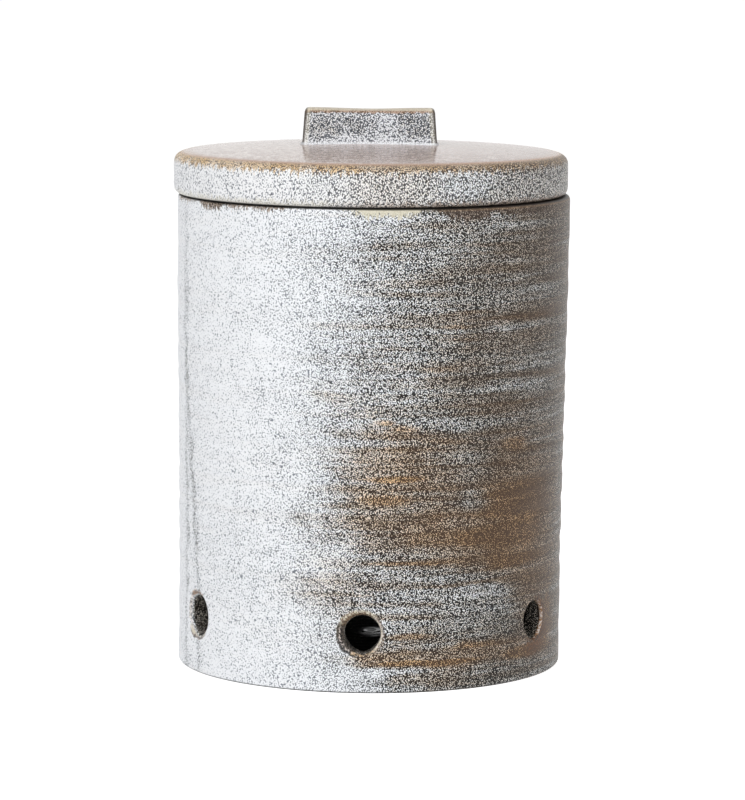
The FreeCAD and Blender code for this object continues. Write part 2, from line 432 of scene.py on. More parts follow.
# Clouds in the jar's glaze: (azimuth, height, half width, half height, thicker by, warmer by, and a
# tilt where there is one)
JAR_CLOUDS = (
    (2, 58, 20, 26, -0.16, 0.0), (7, 62, 17, 22, 0.0, 0.35), (-12, 29, 18, 8, -0.17, 0.1, 10),
    (42, 48, 24, 14, -0.12, 0.55), (38, 24, 17, 8, 0.19, -0.3), (26, 30, 16, 5, 0.05, 0.0),
    (-4, 2, 15, 6, 0.12, -0.2), (16, 4, 12, 5, -0.02, 0.2), (34, 10, 32, 4.5, -0.03, 0.5),
    (48, 50, 14, 28, -0.03, 0.35), (22, 44, 13, 8, 0.0, 0.25), (62, 42, 14, 34, -0.10, 0.35),
    (66, 110, 16, 36, -0.08, 0.0), (66, 14, 8, 8, -0.10, 0.4), (4, 9, 9, 5, -0.20, 0.3),
    (8, 110, 13, 34, 0.05, 0.0), (0, 98, 8, 8, -0.08, 0.05), (28, 138, 24, 5, 0.18, -0.05),
    (30, 110, 12, 30, 0.02, 0.0), (48, 112, 17, 38, 0.10, 0.0), (-2, 140, 12, 8, 0.12, 0.0),
    (-13, 37, 9, 5, -0.04, 0.1), (-44, 38, 16, 18, -0.09, 0.0), (-65, 60, 7, 40, -0.08, 0.0),
    (-84, 80, 14, 70, 0.06, 0.0), (112, 64, 26, 18, -0.10, 0.5), (150, 30, 24, 9, 0.18, -0.3),
    (172, 104, 22, 26, 0.12, -0.2), (-160, 52, 28, 9, -0.10, 0.25), (-120, 90, 24, 20, -0.06, 0.1),
)

# Streaks that the turning wheel left in it, as the clouds
JAR_STREAKS = (
    (6, 64, 9, 1.1, -0.06, 0.9), (4, 58, 9, 2.0, -0.04, 0.5), (4, 81, 4, 1.0, 0.0, 0.7),
    (10, 79, 5, 1.2, 0.0, 0.5), (23, 75, 10, 1.0, -0.08, 0.4), (46, 73, 5, 2.4, -0.05, 0.5),
    (49, 57.5, 15, 1.5, -0.12, 0.35, 2), (43, 52, 15, 1.2, -0.12, 0.35), (32, 46, 9, 2.6, -0.06, 0.3),
    (51, 37, 14, 1.4, -0.14, 0.4), (11, 38.7, 13, 0.8, -0.10, 0.5), (30, 32, 19, 0.8, -0.14, 0.3, -2),
    (58, 30.5, 9, 1.1, -0.10, 0.1), (30, 13.5, 11, 1.2, -0.06, 0.5), (12, 17, 7, 1.2, -0.04, 0.6),
    (17, 8.7, 15, 1.0, -0.12, 1.0), (55, 8.5, 12, 2.2, -0.08, 0.7), (28, 2.6, 32, 0.8, -0.08, 0.0),
    (0, 6, 9, 2.0, 0.22, -0.4), (28, 113, 11, 0.8, -0.10, 0.4), (24, 109, 7, 0.9, -0.05, 0.45),
    (26, 105, 8, 0.7, -0.08, 0.25), (20, 96, 9, 0.9, -0.10, 0.3), (53, 94, 26, 1.1, -0.12, 0.0, -1),
    (62, 112, 13, 1.2, -0.10, 0.1), (57, 121.5, 19, 1.1, -0.08, 0.1), (8, 103, 9, 0.7, -0.10, 0.15),
    (-10, 88, 9, 2.0, -0.08, 0.12, 12), (30, 56.5, 6.5, 3.8, 0.14, -0.35), (66, 17, 2.2, 8.5, -0.08, 1.0),
    (66, 62, 12, 1.2, -0.10, 0.0), (66, 51, 12, 1.3, -0.10, 0.0),
)

# Where the glaze ran off the jar's rim: (azimuth, half width in degrees, drop, what it left, thinner by)
RIM_RUNS = (
    (-72, 18, 0.9, "rust", 0.4), (-54, 12, 2.2, "rust", 0.5), (-40, 26, 1.2, "rust", 0.35),
    (4, 18, 2.4, "cream", 0.0), (28, 16, 3.6, "rust", 0.15), (50, 26, 3.2, "rust", 0.1),
    (128, 36, 4.6, "rust", 0.2), (-150, 40, 4.0, "cream", 0.0),
)

# Where the glaze breaks round a vent, outermost first: (number of the vent from the front one, reach
# from its middle, width of its edge, bearing from the right, spread of bearings, ground, crystals,
# share). The vent across the jar breaks the same way. The two liner rings at the front vent's lower left
# are painted shade on its lip, and the pale rings on the right of the front and right vents are glaze
# pooled there with a painted highlight.
VENT_BREAKS_AND_LIP_LIGHT = (
    (0, 7.5, 0.4, -5, 70, "rust", "umber", 0.6), (0, 6.9, 0.4, -5, 75, "cream", "petal", 0.95),
    (0, 5.9, 0.3, -30, 60, "rust", "umber", 0.7), (0, 7.6, 0.8, 120, 80, "umber", "cream", 0.85),
    (0, 6.6, 0.5, 100, 75, "rust", "umber", 0.85), (0, 7.4, 0.3, 205, 65, "liner", "rust", 0.9),
    (0, 6.6, 0.3, 215, 60, "rust", "petal", 0.7), (0, 6.1, 0.3, 210, 65, "liner", "rust", 0.9),
    (0, 6.9, 0.5, -80, 40, "rust", "ochre", 0.75), (1, 13.0, 5.0, -70, 55, "rust", "sienna", 0.75),
    (1, 8.6, 2.0, 0, 85, "liner", "sienna", 0.9), (1, 6.3, 0.4, -15, 85, "ginger", "petal", 0.9),
    (-1, 7.8, 0.9, 95, 40, "rust", "ginger", 0.85), (-1, 6.8, 0.4, 10, 75, "umber", "cream", 0.6),
    (-1, 6.9, 0.6, 180, 65, "rust", "petal", 0.6), (-1, 7.9, 0.4, -90, 50, "liner", "umber", 0.75),
    (-1, 7.3, 0.4, -90, 60, "cream", "petal", 0.9),
)


def jar_glaze():
    """Reactive stoneware glaze: satin, speckled all over, icy where thick and brown where thin."""
    sizes = bpy.context.scene.keeper_sizes
    material, node, place, glazes = new_material("reactive_glaze_jar")
    foot, top = JAR_RADIUS - sizes.rim_widening / MM, JAR_HIGH.z / MM
    x, y, z = node("SeparateXYZ", [place], None)
    lean = node("MapRange", [z, 0.0, top, sizes.lean / MM, 0.0])
    x = node("Math ADD", [x, lean])
    front = node("Math MULTIPLY", [y, -1.0])
    azimuth = node("Math DEGREES", [node("Math ARCTAN2", [x, front])])
    radius = node("VectorMath LENGTH", [node("CombineXYZ", [x, y])], "Value")

    # Clouds drift: their edges wander by a few millimetres, further along the wall than up it
    drift = node("TexNoise", {"Vector": place, "Scale": 1 / 16, "Detail": 3.0}, "Color")
    drift = node("CombineXYZ", node("SeparateColor", [drift], None))
    drift = node("VectorMath SUBTRACT", [drift, (0.5, 0.5, 0.5)])
    drifted = node("VectorMath MULTIPLY_ADD", [drift, (26, 26, 11), place])

    # The pour is thick on the left and thins out to the right
    across = node("SeparateXYZ", [drifted])
    thickness = node("MapRange SMOOTHSTEP", [across, -48.0, 50.0, 1.1, 0.12])
    warmth = node("MapRange", [across, 8.0, 56.0, 0.0, 0.18])
    thickness, warmth = clouded(node, drifted, JAR_CLOUDS, JAR_RADIUS, thickness, warmth)
    wandering = node("VectorMath MULTIPLY_ADD", [drift, (8, 8, 2.4), place])
    thickness, warmth = clouded(node, wandering, JAR_STREAKS, JAR_RADIUS, thickness, warmth)
    thin = node("MapRange", [thickness, 0.95, 0.5, 0.1, 1.0])

    # Streaks drawn round the wall by the fingers, and fine lines between them, plainer on the right
    thickness, warmth = streaked(node, place, 34, 4.2, 3.0, thin, thickness, warmth, 0.45, -0.85)
    plainer = node("MapRange", [x, 30.0, 54.0, 1.0, 1.8])
    plainer = node("Math MULTIPLY", [plainer, thin])
    thickness, warmth = streaked(node, place, 60, 2.0, 1.5, plainer, thickness, warmth, 0.65, -0.75)
    mottle = node("TexNoise", {"Vector": place, "Scale": 1 / 6, "Detail": 3.0, "Roughness": 0.6})
    mottle = node("Math SUBTRACT", [mottle, 0.5])
    thickness = node("Math MULTIPLY_ADD", [mottle, 0.34, thickness])

    # The throwing rings hold a thinner, browner glaze
    wall = node("MapRange", [z, TAPER_LOW, TAPER_HIGH, foot, JAR_RADIUS])
    depth = node("Math SUBTRACT", [wall, radius])
    groove = node("MapRange", [depth, 0.15, 0.6])
    groove = node("Math MULTIPLY", [groove, thin])
    thickness = node("Math MULTIPLY_ADD", [groove, -0.14, thickness])
    warmth = node("Math MULTIPLY_ADD", [groove, 0.3, warmth])

    # Seam between two pours, from the rim down to the left vent, above which it forks
    fork = node("MapRange", [z, 24.0, 88.0, -61.0, -70.0])
    strength = node("MapRange", [z, 140.0, 60.0, 0.10, 0.32])
    wander = node("Math MULTIPLY_ADD", [mottle, 7.0, azimuth])
    for line in (fork, -71.0):
        off = node("Math SUBTRACT", [wander, line])
        off = node("Math ABSOLUTE", [off])
        seam = node("MapRange", [off, 2.4, 0.4])
        seam = node("Math MULTIPLY", [seam, strength])
        thickness = node("Math SUBTRACT", [thickness, seam])

    # Inside the bore of a vent the glaze is thin
    bored = node("MapRange", [depth, 0.7, 1.5])
    thickness = node("Mix", {0: bored, 2: thickness, 3: 0.12})
    warmth = node("Mix", {0: bored, 2: warmth, 3: 0.0})

    # It runs off the rim and leaves it thin, with ragged teeth about a millimetre apart
    ragged_level = toothed(node, place, z, 0.3, 0.6)
    run = {"rust": 0.0, "cream": 0.0}
    for degrees, half_width, drop, kind, thinner in RIM_RUNS:
        turned = node("Math SUBTRACT", [azimuth, degrees])
        turned = node("Math WRAP", [turned, 180.0, -180.0])
        turned = node("Math ABSOLUTE", [turned])
        inside = node("MapRange", [turned, half_width, half_width * 0.3, -1.0])
        edge = node("Math MULTIPLY_ADD", [inside, -drop, top])
        above = node("Math SUBTRACT", [ragged_level, edge])
        share = node("MapRange", [above, -0.5, 0.5, 0.0, 0.9])
        thickness = node("Math MULTIPLY_ADD", [share, -thinner, thickness])
        run[kind] = node("Math MAXIMUM", [run[kind], share])
    base, crystal, apart = crystals(node, place, thickness, warmth, JAR_GRAIN)

    # What the runs leave, the arris of the rim, painted shade in the gap under the lid, and a painted contact
    # shadow at the foot
    speckled = node("Math MULTIPLY", [crystal, 0.7])
    base = layer(node, base, run["rust"], glazes.rust, speckled, glazes.tan)
    pooled = node("MapRange", [crystal, 0.0, 1.0, 0.9, 1.0])
    base = layer(node, base, run["cream"], glazes.umber, pooled, glazes.cream)
    worn = node("MapRange", [x, 12.0, 30.0, 0.0, 0.5])
    arris = node("MapRange", [z, top - 1.1, top - 0.8])
    arris = node("Math MULTIPLY", [arris, worn])
    base = layer(node, base, arris, glazes.clay, crystal, glazes.ochre)
    # Painted shade: the liner's dark colour on the top of the rim, in the gap under the lid
    painted_gap_shade = node("MapRange", [z, top - 0.6, top - 0.25, 0.0, 0.95])
    base = layer(node, base, painted_gap_shade, glazes.liner)
    # Painted contact shadow: the liner's dark colour along the bottom of the foot
    painted_foot_shadow = node("MapRange", [z, 0.6, 0.3, 0.0, 0.85])
    base = layer(node, base, painted_foot_shadow, glazes.liner)

    # Round each vent the glaze breaks, brown and cream, with freckles of half a millimetre; some rings are
    # painted shade and painted highlight on the lip
    folded = node("Math WRAP", [azimuth, VENT_TURN + VENT_PITCH / 2, VENT_TURN - VENT_PITCH / 2])
    along = node("Math SUBTRACT", [folded, VENT_TURN])
    along = node("Math MULTIPLY", [along, math.radians(foot)])
    above = node("Math SUBTRACT", [z, VENT_HEIGHT - 0.1])
    offset = node("CombineXYZ", [along, above])
    away = node("VectorMath LENGTH", [offset], "Value")
    bearing = node("VectorMath NORMALIZE", [offset])
    ragged = node("TexNoise", {"Vector": place, "Scale": 1 / 0.9, "Detail": 2.0})
    ragged = node("Math MULTIPLY_ADD", [ragged, 1.6, -0.8])
    rough_away = node("Math ADD", [away, ragged])
    outer_face = node("MapRange", [depth, 1.1, 0.5])
    freckles = node("TexNoise", {"Vector": place, "Scale": 1 / 0.5, "Detail": 1.0})
    freckled = node("MapRange", [freckles, 0.44, 0.56])
    for vent, outer, width, side, spread, ground, pale, most in VENT_BREAKS_AND_LIP_LIGHT:
        near = node("Math SUBTRACT", [azimuth, VENT_TURN + vent * VENT_PITCH])
        near = node("Math WRAP", [near, 90.0, -90.0])
        near = node("Math COMPARE", [near, 0.0, 30.0])
        angle = math.radians(side)
        towards = (math.cos(angle), math.sin(angle), 0)
        facing = node("VectorMath DOT_PRODUCT", [bearing, towards], "Value")
        facing = node("MapRange", [facing, math.cos(math.radians(spread)), 1.0, 0.0, 2.0])
        facing = node("Math MULTIPLY", [facing, near])
        facing = node("Math MULTIPLY", [facing, outer_face], use_clamp=True)
        halo = node("MapRange SMOOTHSTEP", [rough_away, outer, outer - width, 0.0, most])
        halo = node("Math MULTIPLY", [halo, facing])
        base = layer(node, base, halo, getattr(glazes, ground), freckled, getattr(glazes, pale))

    roughness = node("MapRange", [crystal, 0.0, 1.0, 0.42, 0.58])
    surface(node, base, roughness, apart, CRYSTAL_RELIEF, 0.25)
    return material


def liner_glaze():
    """Iron liner glaze: dark brown, dull on the wall, glossy and rippled in the middle of the floor."""
    material, node, place, glazes = new_material("iron_liner_glaze")
    specks = node("TexNoise", {"Vector": place, "Scale": 1 / 0.9, "Detail": 1.5})
    speck = node("MapRange", [specks, 0.62, 0.72, 0.0, 0.12])
    base = layer(node, glazes.liner, speck, glazes.lean_crystal)
    ripples = node("TexWave", {
        "Vector": place, "Scale": 0.063, "Distortion": 2.5, "Detail": 2.0, "Detail Scale": 2.0,
    }, "Fac", wave_type="RINGS", rings_direction="Z")
    puddle = node("Mapping", {
        "Vector": place, "Location": (0.5, -3.0, 9.0), "Scale": (4.2, 8.5, 4.0),
    }, vector_type="TEXTURE")
    away = node("VectorMath LENGTH", [puddle], "Value")
    roughness = node("MapRange", [away, 0.7, 1.2, 0.16, 0.8])
    surface(node, base, roughness, ripples, 0.24, 0.05)
    return material


def bare_clay():
    """Bare stoneware: matt, sandy, with grit of about half a millimetre and a few iron spots."""
    material, node, place, glazes = new_material("bare_stoneware")
    grit = node("TexNoise", {"Vector": place, "Scale": 1 / 0.6, "Detail": 3.0, "Roughness": 0.7})
    spots = node("TexNoise", {"Vector": place, "Scale": 1 / 2.2, "Detail": 1.0})
    spot = node("MapRange", [spots, 0.66, 0.72])
    toasted = node("MapRange", [grit, 0.3, 0.7])
    base = layer(node, glazes.clay, toasted, glazes.grit)
    base = layer(node, base, spot, glazes.rust)
    surface(node, base, 0.85, grit, 0.08)
    return material


# Clouds in the glaze of the lid's side, as on the jar
LID_CLOUDS = (
    (4, 149, 14, 8, -0.06, 0.1), (-30, 150, 14, 6, 0.06, 0.0), (28, 151, 10, 6, 0.04, -0.1),
    (150, 150, 30, 12, -0.2, 0.4), (-120, 150, 30, 12, -0.15, 0.2),
)


def lid_glaze():
    """The reactive glaze on the lid: a smooth taupe dome, breaking ochre over its edge."""
    material, node, place, glazes = new_material("reactive_glaze_lid")
    centred = node("VectorMath SUBTRACT", [place, (LID_CENTRE, 0, 0)])
    x, y, z = node("SeparateXYZ", [centred], None)
    radius = node("VectorMath LENGTH", [node("CombineXYZ", [x, y])], "Value")
    drift = node("TexNoise", {"Vector": place, "Scale": 1 / 9, "Detail": 3.0})
    drift = node("Math MULTIPLY_ADD", [drift, 30.0, -15.0])
    across = node("Math ADD", [x, drift])
    thickness = node("MapRange", [across, -46.0, 50.0, 0.99, 0.45])
    warmth = node("MapRange", [across, -60.0, 0.0, 0.03, 0.09])
    thickness, warmth = clouded(node, place, LID_CLOUDS, LID_RADIUS, thickness, warmth)

    # It breaks over the edge, thin there, and ragged with teeth below
    ragged_level = toothed(node, place, z, 0.25, 0.8)
    brow = LID_HIGH.z / MM - 5.5
    broken = node("MapRange", [ragged_level, brow - 0.5, brow + 0.9])
    fading = node("MapRange SMOOTHSTEP", [radius, LID_RADIUS - 12.0, LID_RADIUS - 2.0])
    broken = node("Math MULTIPLY", [broken, fading])
    patchy = node("TexNoise", {"Vector": place, "Scale": 1 / 7, "Detail": 3.0})
    patchy = node("MapRange", [patchy, 0.3, 0.6, 0.6, 1.0])
    broken = node("Math MULTIPLY", [broken, patchy])
    thickness = node("Math MULTIPLY_ADD", [broken, -0.22, thickness])
    drawn = node("Mapping", {"Vector": place, "Scale": (1.0, 1.0, 0.7)})
    base, crystal, apart = crystals(node, drawn, thickness, warmth, LID_GRAIN)

    # On the dome the crystals have melted in, and it turns ginger near the edge
    cloudy = node("TexNoise", {"Vector": place, "Scale": 1 / 2.2, "Detail": 3.0, "Roughness": 0.8})
    cloudy = node("MapRange", [cloudy, 0.4, 0.6, 0.15, 1.0])
    melted = node("Math MULTIPLY", [crystal, cloudy])
    dome = layer(node, glazes.taupe, melted, glazes.petal)
    worn = node("MapRange SMOOTHSTEP", [radius, LID_RADIUS - 7.0, LID_RADIUS - 2.5, 0.0, 0.75])
    dome = layer(node, dome, worn, glazes.ginger)
    top = node("MapRange SMOOTHSTEP", [radius, LID_RADIUS - 1.6, LID_RADIUS - 3.4])
    base = layer(node, base, broken, glazes.loam, crystal, glazes.ochre)
    base = layer(node, base, top, dome)

    # Pooled along the lower edge: a faint cream on the left, rust on the right
    low = LID_LOW.z / MM
    pooled = node("MapRange", [ragged_level, low + 2.2, low + 1.0])
    rusty = node("MapRange", [across, -20.0, 12.0, 0.0, 0.8])
    creamy = node("MapRange", [across, -10.0, -20.0, 0.0, 0.45])
    rusty = node("Math MULTIPLY", [pooled, rusty])
    creamy = node("Math MULTIPLY", [pooled, creamy])
    base = layer(node, base, rusty, glazes.rust, crystal, glazes.tan)
    base = layer(node, base, creamy, glazes.cream)
    # Painted shade: the liner's dark colour along the underside of the lid's edge, where it rests on the jar
    under = node("MapRange", [z, low + 0.5, low + 0.2, 0.0, 0.9])
    base = layer(node, base, under, glazes.liner)

    rough_side = node("MapRange", [crystal, 0.0, 1.0, 0.40, 0.56])
    roughness = node("Mix", {0: top, 2: rough_side, 3: 0.15})
    surface(node, base, roughness, apart, CRYSTAL_RELIEF, 0.4)
    return material


# Clouds in the grip's glaze: (place along it, height, half width, half height, thicker by, warmer by)
# The last pales the foot: glaze pooled there, and part of a painted highlight along it
GRIP_CLOUDS = (
    (-15, 164.8, 7, 4, -0.20, 0.05), (-3.5, 165, 4, 5, -0.14, 0.0), (12.5, 165, 6.5, 4, -0.24, 0.0),
    (4, 165, 3.5, 5, 0.10, 0.0), (-9, 161.5, 5, 1.5, 0.12, 0.0), (0, 160.6, 30, 1.2, 0.15, 0.0),
)


def grip_glaze():
    """The same glaze on the grip: blue-grey, clouded, and brown along the edges where it ran thin."""
    material, node, place, glazes = new_material("reactive_glaze_grip")
    x, _, z = node("SeparateXYZ", [place], None)
    clumps = node("TexNoise", {"Vector": place, "Scale": 1 / 4, "Detail": 3.0})
    thickness = node("MapRange", [clumps, 0.3, 0.7, 0.55, 0.82])
    warmth = 0.0
    for along, height, half_width, half_height, thicker, warmer in GRIP_CLOUDS:
        cloud = node("Mapping", {
            "Vector": place, "Location": (along, 0, height), "Scale": (half_width, 40, half_height),
        }, vector_type="TEXTURE")
        away = node("VectorMath LENGTH", [cloud], "Value")
        share = node("MapRange", [away, 1.35, 0.3])
        thickness = node("Math MULTIPLY_ADD", [share, thicker, thickness])
        warmth = node("Math MULTIPLY_ADD", [share, warmer, warmth])
    base, crystal, apart = crystals(node, place, thickness, warmth, GRIP_GRAIN)
    base = layer(node, base, 0.14, glazes.haze)

    # Thin and brown over the brow and down the ends, paler along the very top
    top, ends = GRIP_HIGH.z / MM, (GRIP_HIGH.x - GRIP_LOW.x) / 2 / MM
    wander = node("TexNoise", {"Vector": place, "Scale": 1 / 1.5, "Detail": 2.0})
    level = node("Math MULTIPLY_ADD", [wander, 1.6, z])
    brow = node("MapRange", [level, top - 0.7, top - 0.2, 0.0, 0.75])
    base = layer(node, base, brow, glazes.umber, crystal, glazes.ginger)
    crest = node("MapRange", [z, top - 0.75, top - 0.35, 0.0, 0.55])
    base = layer(node, base, crest, glazes.cream)
    middle = ((GRIP_HIGH.x + GRIP_LOW.x) / 2 - bpy.context.scene.keeper_sizes.grip_offset) / MM
    along = node("Math SUBTRACT", [x, middle])
    along = node("Math ABSOLUTE", [along])
    narrowed = node("MapRange", [z, GRIP_LOW.z / MM, top, ends, ends - 1.0])
    inset = node("Math SUBTRACT", [narrowed, along])
    pale_end = node("MapRange", [inset, 2.1, 1.4, 0.0, 0.3])
    base = layer(node, base, pale_end, glazes.cream)
    end = node("MapRange", [inset, 0.9, 0.35, 0.0, 0.85])
    base = layer(node, base, end, glazes.rust)
    # Pale along the foot: glaze pooled in the fillet, and a painted highlight along it. The line drops with the
    # dome by
    # 0.0009 per square millimetre along it
    arch = node("Math MULTIPLY", [along, along])
    arch = node("Math MULTIPLY_ADD", [arch, 0.0009, z])
    foot = node("MapRange", [arch, 160.15, 159.9, 0.0, 0.5])
    base = layer(node, base, foot, glazes.thick_crystal)
    surface(node, base, 0.42, apart, CRYSTAL_RELIEF, 0.25)
    return material


# Pieces


class KEEPER_OT_jar(bpy.types.Operator):
    """Throws the jar, presses its throwing rings in and opens its vents"""

    bl_idname = "keeper.jar"
    bl_label = "Throw Jar"

    def execute(self, context):
        sizes = context.scene.keeper_sizes
        mouth = JAR_RADIUS - ROOM_FOR_WALL
        foot = mouth - sizes.rim_widening / MM
        height = JAR_HIGH.z / MM
        recess = sizes.foot_recess / MM
        floor = recess + sizes.floor / MM
        ring = foot - sizes.foot_ring / MM
        inner_mouth = mouth - sizes.wall_rim / MM
        inner_foot = foot - sizes.wall_foot / MM

        underside = outline([
            (8, recess), (ring, recess, 1.0, 0.6), (ring, 0, 0.3, 0.5), (foot, 0, 1.1, 1.1), (foot, WALL_START),
        ], 6.0)
        wall = []
        for k in range(math.ceil((height - RIM_DEPTH - WALL_START) / WALL_ROW)):
            level = WALL_START + WALL_ROW * (k + 1)
            share = min(max((level - TAPER_LOW) / (TAPER_HIGH - TAPER_LOW), 0), 1)
            radius = foot + (mouth - foot) * share
            wall.append(Vector((radius - grooves(THROWING_RINGS, level), level)))
        top = outline([
            (mouth, height - 3.5), (mouth, height, 1.5, 1.5), (inner_mouth, height, 1.8, 2.2),
            (inner_mouth, height - 8),
        ], 1.5)
        inside = outline([
            (inner_mouth, height - 8), (inner_foot, TAPER_LOW), (inner_foot, floor, 6, 6), (8, floor), (0, floor),
        ], INSIDE_ROW)[1:]
        inside = [
            Vector((point.x - grooves(INSIDE_RINGS, point.y), point.y)) if point.y > floor + 8 else point
            for point in inside
        ]
        jar = throw("jar_body", underside + wall + top + inside, sizes.around, lean=sizes.lean / MM)

        # The wall is a little uneven between the rings, more along it than up it
        group = jar.vertex_groups.new(name="wall")
        for vertex in jar.data.vertices:
            level = vertex.co.z / MM
            if math.hypot(vertex.co.x, vertex.co.y) / MM > inner_mouth + 1.5 and 3 < level < height - 3:
                group.add([vertex.index], min(1, (level - 3) / 8, (height - 3 - level) / 8), "REPLACE")
        bpy.ops.object.empty_add(location=(0, 0, 0))
        stretch = context.object
        stretch.scale = (1.0, 1.0, 0.3)
        context.view_layer.update()
        texture = bpy.data.textures.new("uneven_wall", "CLOUDS")
        texture.noise_scale = 30 * MM
        texture.noise_depth = 1
        apply_modifier(
            jar, "DISPLACE", texture=texture, texture_coords="OBJECT", texture_coords_object=stretch,
            vertex_group="wall", strength=sizes.unevenness, mid_level=0.62,
        )
        only(stretch)
        bpy.ops.object.delete()

        for material in (jar_glaze(), liner_glaze(), bare_clay()):
            jar.data.materials.append(material)
        liner, clay = 1, 2
        for face in jar.data.polygons:
            level, reach = face.center.z / MM, math.hypot(face.center.x, face.center.y) / MM
            if (level < 0.7 and reach < foot - 1.0) or (level < floor - 1 and reach < ring + 1):
                face.material_index = clay
            elif reach < (foot + inner_mouth) / 2 and level > floor - 1:
                face.material_index = liner
        cutters = self.vent_cutters(sizes)
        apply_modifier(jar, "BOOLEAN", operation="DIFFERENCE", object=cutters, solver="EXACT")
        only(cutters)
        bpy.ops.object.delete()
        finish_piece(jar, "jar", "jar", 50)
        return {"FINISHED"}

    def vent_cutters(self, sizes):
        """Six trumpets that open the vents and soften their lips, drawn to a point below."""
        foot = JAR_RADIUS - ROOM_FOR_WALL - sizes.rim_widening / MM
        bore, lip, point = sizes.vent_radius / MM, sizes.vent_lip / MM, sizes.vent_point / MM
        bpy.ops.object.select_all(action="DESELECT")
        start = foot - VENT_DEPTH
        bpy.ops.mesh.primitive_circle_add(
            vertices=VENT_FACES, radius=bore * MM, fill_type="NGON",
            location=(0, -start * MM, VENT_HEIGHT * MM), rotation=(math.pi / 2, 0, 0),
        )
        bpy.ops.object.mode_set(mode="EDIT")
        bpy.ops.mesh.select_all(action="SELECT")
        # (radius, reach from the jar's axis) of the bore, of the lip's rounding and of a flare past the wall
        steps = [(bore, foot - lip * 1.25)]
        for k in range(1, 6):
            turn = math.radians(k * 13)
            steps.append((bore + lip * (1 - math.cos(turn)) * 1.6, foot - lip * 1.25 + lip * math.sin(turn) * 1.25))
        steps.append((steps[-1][0] + 3.0, steps[-1][1] + 2.2))
        radius, reach = bore, start
        for next_radius, next_reach in steps:
            bpy.ops.mesh.extrude_region_move(
                TRANSFORM_OT_translate={"value": (0, (reach - next_reach) * MM, 0)}
            )
            ratio = next_radius / radius
            bpy.ops.transform.resize(
                value=(ratio, 1, ratio), center_override=(0, -next_reach * MM, VENT_HEIGHT * MM)
            )
            radius, reach = next_radius, next_reach
        bpy.ops.object.mode_set(mode="OBJECT")
        bpy.ops.object.transform_apply()
        cutter = bpy.context.object
        for vertex in cutter.data.vertices:
            vertex.select = abs(vertex.co.x) < 0.1 * MM and vertex.co.z < VENT_HEIGHT * MM
        bpy.ops.object.mode_set(mode="EDIT")
        bpy.ops.transform.translate(
            value=(0, 0, -point * MM), use_proportional_edit=True,
            proportional_edit_falloff="LINEAR", proportional_size=5 * MM,
        )
        turn_outwards()
        copies = []
        for k in range(1, VENT_COUNT):
            only(cutter)
            bpy.ops.object.duplicate()
            bpy.context.object.rotation_euler.z = math.radians(k * VENT_PITCH)
            copies.append(bpy.context.object)
        only(cutter)
        for copy in copies:
            copy.select_set(True)
        bpy.ops.object.join()
        cutter.rotation_euler.z = math.radians(VENT_TURN)
        bpy.ops.object.transform_apply()
        return cutter


class KEEPER_OT_lid_disc(bpy.types.Operator):
    """Throws the lid's disc, with its dome and the recess underneath"""

    bl_idname = "keeper.lid_disc"
    bl_label = "Throw Lid"

    def execute(self, context):
        sizes = context.scene.keeper_sizes
        low, crown = LID_LOW.z / MM, LID_HIGH.z / MM - sizes.dome_sag / MM
        edge = LID_RADIUS - ROOM_FOR_EDGE
        inner = RING_HIGH.x / MM - LID_CENTRE - sizes.ring_wall / MM
        shoulder = LID_HIGH.z / MM - 3.2
        ceiling = shoulder - 8.0
        ball = (edge ** 2 + (crown - shoulder) ** 2) / (2 * (crown - shoulder))
        start = edge - 4.8
        radii = [start * (1 - k / DOME_ROWS) for k in range(DOME_ROWS)]
        dome = [(radius, crown - ball + math.sqrt(ball ** 2 - radius ** 2)) for radius in radii]
        path = outline([
            (8, ceiling), (inner, ceiling, 3, 3), (inner, low), (edge - 4, low), (edge, low, 2.6, 2.8),
            (edge, shoulder + 0.1, 3.3, 5.0), (start - 1, dome[0][1] + 0.06),
        ], 2.0)[:-1]
        path += [Vector(point) for point in dome[1:] if point[0] < path[-1].x - 1] + [Vector((0, crown))]
        disc = throw("lid_body", path, sizes.around, centre=LID_CENTRE)
        disc.data.materials.append(lid_glaze())
        disc.data.materials.append(bare_clay())
        for face in disc.data.polygons:
            reach = math.hypot(face.center.x - LID_CENTRE * MM, face.center.y) / MM
            if face.center.z / MM < ceiling + 1 and reach < edge - 4:
                face.material_index = 1
        finish_piece(disc, "lid", "lid_disc", 50)
        return {"FINISHED"}


class KEEPER_OT_locating_ring(bpy.types.Operator):
    """Throws the bare ring under the lid that keeps it in the mouth"""

    bl_idname = "keeper.locating_ring"
    bl_label = "Throw Locating Ring"

    def execute(self, context):
        sizes = context.scene.keeper_sizes
        outer = RING_HIGH.x / MM - LID_CENTRE
        inner = outer - sizes.ring_wall / MM
        low, high = RING_LOW.z / MM, RING_HIGH.z / MM
        path = outline([
            (inner, high), (inner, low, 1.8, 1.6), (outer, low, 1.6, 1.8), (outer, high),
        ], 1.5)
        ring = throw("locating_ring", path, sizes.around, centre=LID_CENTRE)
        ring.data.materials.append(bare_clay())
        finish_piece(ring, "lid", "lid_locating_ring", 50)
        return {"FINISHED"}


